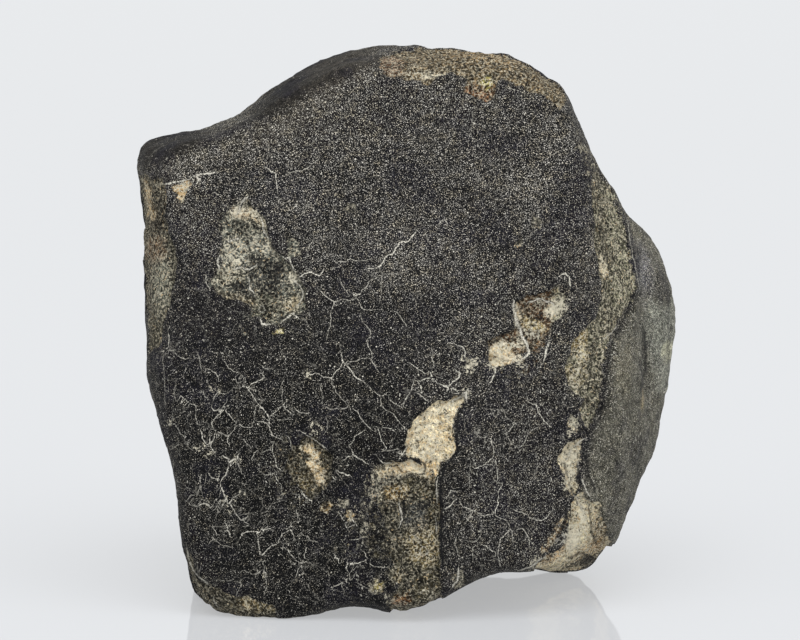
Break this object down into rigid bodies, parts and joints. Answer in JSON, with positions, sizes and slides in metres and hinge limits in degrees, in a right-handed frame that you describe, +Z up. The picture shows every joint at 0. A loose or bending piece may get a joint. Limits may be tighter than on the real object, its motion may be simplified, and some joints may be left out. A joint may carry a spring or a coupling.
{
  "type": "carbonaceous chondrite meteorite",
  "caption": "Blocky dark meteorite stone with a broad front face, thumbprint hollows, chipped fusion crust and a small flat resting spot.",
  "frame": {"origin": "on the floor at the middle of the flat resting spot", "axes": "+Z up as the stone stands, -Y toward the broad front face, +X to the right of that face"},
  "size_m": [0.0548, 0.0421, 0.0549],
  "materials": {
    "stone": "matt dark fusion crust, grainy grey-brown where the crust has chipped away"
  },
  "bodies": {
    "root": {"meteorite": "stone"}
  },
  "joints": []
}
